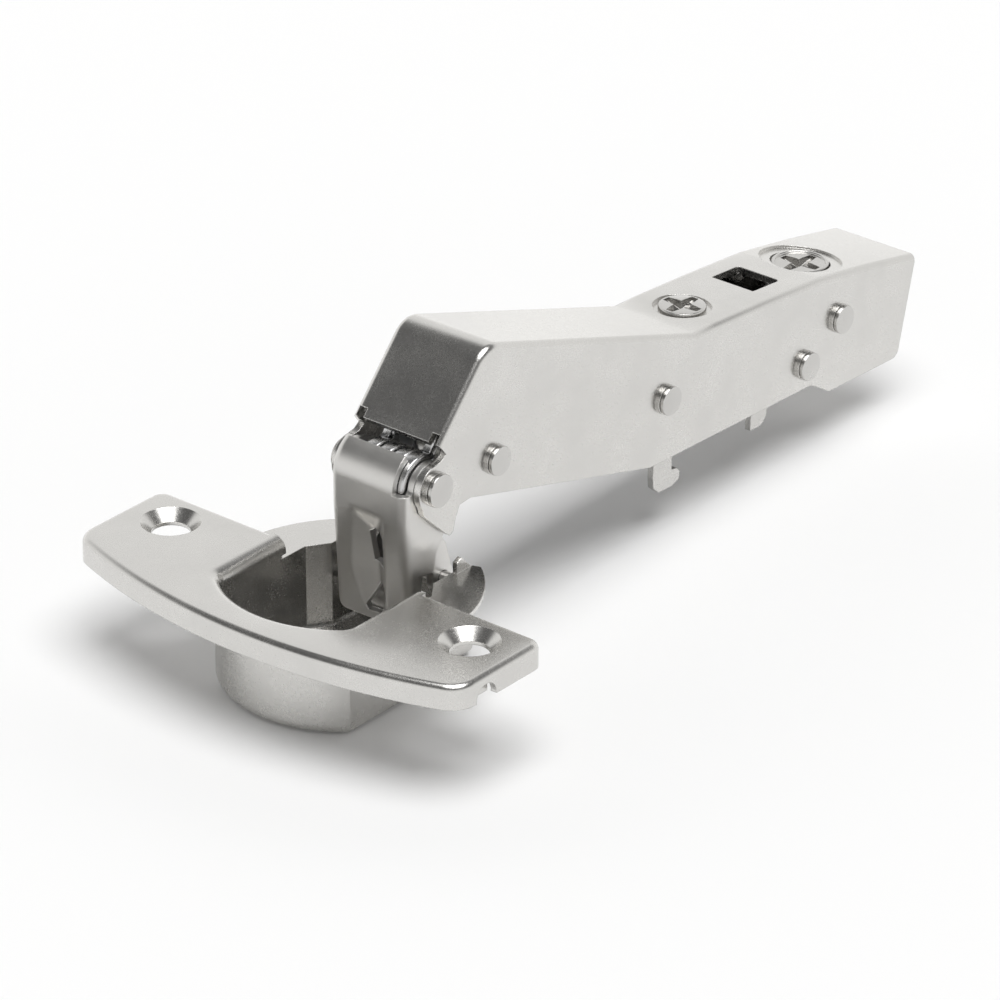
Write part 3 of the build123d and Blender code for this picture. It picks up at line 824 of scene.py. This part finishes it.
class HINGE_OT_plastics(bpy.types.Operator):
    """Give the moulded parts their plastic"""
    bl_idname = "hinge.plastics"
    bl_label = "Finish moulded parts"

    def execute(self, context):
        grey = plastic("grey_acetal", (0.32, 0.33, 0.34), 0.42)
        dress(["spring_sleeve", "near_washer", "far_washer", "damper_cylinder"], grey)
        dress(["damper_plunger"], plastic("light_acetal", (0.62, 0.62, 0.6), 0.38))
        return {"FINISHED"}


def closing_coil(p, wire):
    """Flat wire wound round the front pin, with a leg up into the arm at each end."""
    start_y = -0.0053 + p.wire_wide / 2
    pitch = 0.00238
    steps = 48
    first = math.radians(52)
    level_start = 0.35
    middle = p.outer - p.wire_high / 2
    section = rounded_section(p.wire_high, p.wire_wide, 0.00035)
    bm = bmesh.new()
    rings = []
    for i in range(p.turns * steps + 1):
        a = first + 2 * math.pi * i / steps
        y = start_y + min(max(i / steps - level_start, 0), p.turns - 1) * pitch
        out = ALONG * math.cos(a) + UP * math.sin(a)
        rings.append([ARM_PIN + out * (middle + o) + Vector((0, y + w, 0)) for o, w in section])
    sweep(bm, rings)
    foot, tip = on_arm(1.9, 0, 3.0), on_arm(8.6, 0, 11.9)
    way = (tip - foot).normalized()
    side = way.cross(Vector((0, 1, 0))).normalized()
    for y in (start_y, start_y + (p.turns - 1) * pitch):
        rings = []
        for t in (0.0, 0.25, 0.5, 0.75, 1.0):
            c = foot.lerp(tip, t) + Vector((0, y, 0))
            rings.append([c + side * (o * 0.95) + Vector((0, w * 0.72, 0)) for o, w in section])
        sweep(bm, rings)
    return mesh_object("closing_coil", bm, wire)


def catch_coil(wire):
    """Round wire wound round the catch's pin, with one leg."""
    centre = on_arm(95.8, 0, -9.4)
    radius, wire_r = 0.00158, 0.00035
    turns, steps, round_steps = 4, 32, 10
    first = math.radians(120)
    start_y, pitch = -0.0018, 0.00105 * 0.86
    circle = [2 * math.pi * k / round_steps for k in range(round_steps)]
    bm = bmesh.new()
    rings = []
    for i in range(turns * steps + 1):
        a = first + 2 * math.pi * i / steps
        y = start_y + pitch * i / steps
        out = ALONG * math.cos(a) + UP * math.sin(a)
        rings.append([
            centre + out * (radius + wire_r * math.cos(b)) + Vector((0, y + wire_r * math.sin(b), 0))
            for b in circle
        ])
    sweep(bm, rings)
    foot, tip = on_arm(94.5, -1.75, -8.4), on_arm(92.9, -1.75, -3.0)
    way = (tip - foot).normalized()
    side = way.cross(Vector((0, 1, 0))).normalized()
    rings = []
    for t in (0.0, 0.5, 1.0):
        c = foot.lerp(tip, t)
        rings.append([
            c + side * (wire_r * math.cos(b)) + Vector((0, wire_r * math.sin(b), 0))
            for b in circle
        ])
    sweep(bm, rings)
    return mesh_object("catch_coil", bm, wire)


class HINGE_OT_springs(bpy.types.Operator):
    """Wind the closing spring from flat wire and the catch spring from round wire"""
    bl_idname = "hinge.springs"
    bl_label = "Wind the springs"

    def execute(self, context):
        wire = metal("spring_wire", (0.6, 0.6, 0.6), 0.18, 0.32, 0.0003, 0.0001, drawn=(300, 2500, 300))
        coil = closing_coil(context.scene.hinge_spring, wire)
        set_in_frame(coil, "torsion_spring", "arm_body")
        set_in_frame(catch_coil(wire), "catch_spring", "carriage_body")
        return {"FINISHED"}


def pale_floor(p):
    """Plain floor just under the object."""
    bm = bmesh.new()
    bmesh.ops.create_grid(bm, x_segments=8, y_segments=8, size=6.0)
    gap = 0.0002
    bmesh.ops.translate(bm, vec=(0, 0, cad_low[2] - gap), verts=bm.verts)
    mat, nodes, links = new_material("pale_floor")
    out = nodes.new("ShaderNodeOutputMaterial")
    shader = nodes.new("ShaderNodeBsdfPrincipled")
    shader.inputs["Base Color"].default_value = (*p.floor, 1)
    shader.inputs["Roughness"].default_value = 0.9
    shader.inputs["Specular IOR Level"].default_value = 0.1
    links.new(shader.outputs["BSDF"], out.inputs["Surface"])
    return mesh_object("floor", bm, mat, smooth=False)


def studio_light(p, scene):
    """World light by direction: bright low down all round, dim above, brightest low behind the arm."""
    world = bpy.data.worlds.new("studio")
    scene.world = world
    world.use_nodes = True
    nodes, links = world.node_tree.nodes, world.node_tree.links
    back = nodes["Background"]
    back.inputs["Color"].default_value = (1.0, 0.998, 0.99, 1)
    way = nodes.new("ShaderNodeTexCoord").outputs["Generated"]
    parts = nodes.new("ShaderNodeSeparateXYZ")
    links.new(way, parts.inputs[0])
    toward = nodes.new("ShaderNodeVectorMath")
    toward.operation = "DOT_PRODUCT"
    toward.inputs[1].default_value = (0.77, 0.64, 0.0)
    links.new(way, toward.inputs[0])
    ahead = sums(nodes, links, "MAXIMUM", toward.outputs["Value"], 0.0)
    height = sums(nodes, links, "MULTIPLY_ADD", ahead, -0.5, parts.outputs["Z"])
    fade = ranged(nodes, links, height, (0.26, 0.50), (p.horizon, p.sky))
    gain = ranged(nodes, links, height, (-0.20, -0.50), (1.0, p.behind))
    links.new(sums(nodes, links, "MULTIPLY", fade, gain), back.inputs["Strength"])


def overhead_light(p, scene):
    """Soft light from above, aimed at the middle of the hinge."""
    sun = bpy.data.lights.new("overhead", "SUN")
    sun.energy = p.sun
    sun.angle = math.radians(50)
    lamp = bpy.data.objects.new("overhead", sun)
    scene.collection.objects.link(lamp)
    lamp.location = (0.0, -0.25, 1.2)
    way = (Vector((0.045, 0, 0.008)) - lamp.location).normalized()
    lamp.rotation_mode = "QUATERNION"
    lamp.rotation_quaternion = way.to_track_quat("-Z", "Y")


def photo_camera(p, scene):
    """Camera at the photograph's angle."""
    data = bpy.data.cameras.new("photo_camera")
    data.lens = p.lens
    data.sensor_width = 36.0
    data.clip_start = 0.01
    data.clip_end = 30
    cam = bpy.data.objects.new("photo_camera", data)
    scene.collection.objects.link(cam)
    look = Vector((0.6831, 0.5666, -0.4608)).normalized()
    right = Vector((0.6384, -0.7697, 0.0)).normalized()
    up = right.cross(look).normalized()
    turn = Matrix((right, up, -look)).transposed().to_4x4()
    cam.matrix_world = Matrix.Translation(Vector((-0.5398, -0.4742, 0.3860))) @ turn
    return cam


class HINGE_OT_stage(bpy.types.Operator):
    """Set the floor, the studio light and the camera"""
    bl_idname = "hinge.stage"
    bl_label = "Set the stage"

    def execute(self, context):
        p = context.scene.hinge_stage
        pale_floor(p)
        studio_light(p, context.scene)
        overhead_light(p, context.scene)
        context.scene.camera = photo_camera(p, context.scene)
        context.scene.view_settings.view_transform = "Standard"
        return {"FINISHED"}


# in the order in which main calls them
OPERATORS = (
    HINGE_OT_stage, HINGE_OT_sheet, HINGE_OT_pins, HINGE_OT_plastics, HINGE_OT_springs, HINGE_OT_link,
    HINGE_OT_cup, HINGE_OT_arm, HINGE_OT_pin_heads, HINGE_OT_screws,
)

GROUPS = {
    "hinge_sheet": SheetFinish,
    "hinge_spring": SpringSizes,
    "hinge_link": LinkSizes,
    "hinge_cup": CupSizes,
    "hinge_arm": ArmSizes,
    "hinge_heads": HeadSizes,
    "hinge_stage": StageSetup,
}


class HINGE_PT_panel(bpy.types.Panel):
    """Sizes, finishes and steps of the hinge"""
    bl_idname = "HINGE_PT_panel"
    bl_label = "Cup hinge"
    bl_space_type = "VIEW_3D"
    bl_region_type = "UI"
    bl_category = "Hinge"

    def draw(self, context):
        layout = self.layout
        for name in GROUPS:
            group = getattr(context.scene, name)
            box = layout.box()
            for key in group.bl_rna.properties.keys():
                if key not in ("rna_type", "name"):
                    box.prop(group, key)
        for op in OPERATORS:
            layout.operator(op.bl_idname)


CLASSES = (*GROUPS.values(), *OPERATORS, HINGE_PT_panel)


def register():
    for item in CLASSES:
        bpy.utils.register_class(item)
    for name, group in GROUPS.items():
        setattr(bpy.types.Scene, name, bpy.props.PointerProperty(type=group))


def unregister():
    for name in GROUPS:
        delattr(bpy.types.Scene, name)
    for item in reversed(CLASSES):
        bpy.utils.unregister_class(item)


def main():
    register()
    bpy.ops.hinge.stage()
    bpy.ops.hinge.sheet()
    bpy.ops.hinge.pins()
    bpy.ops.hinge.plastics()
    bpy.ops.hinge.springs()
    bpy.ops.hinge.link()
    bpy.ops.hinge.cup()
    bpy.ops.hinge.arm()
    bpy.ops.hinge.pin_heads()
    bpy.ops.hinge.screws()


if __name__ == "__main__":
    main()
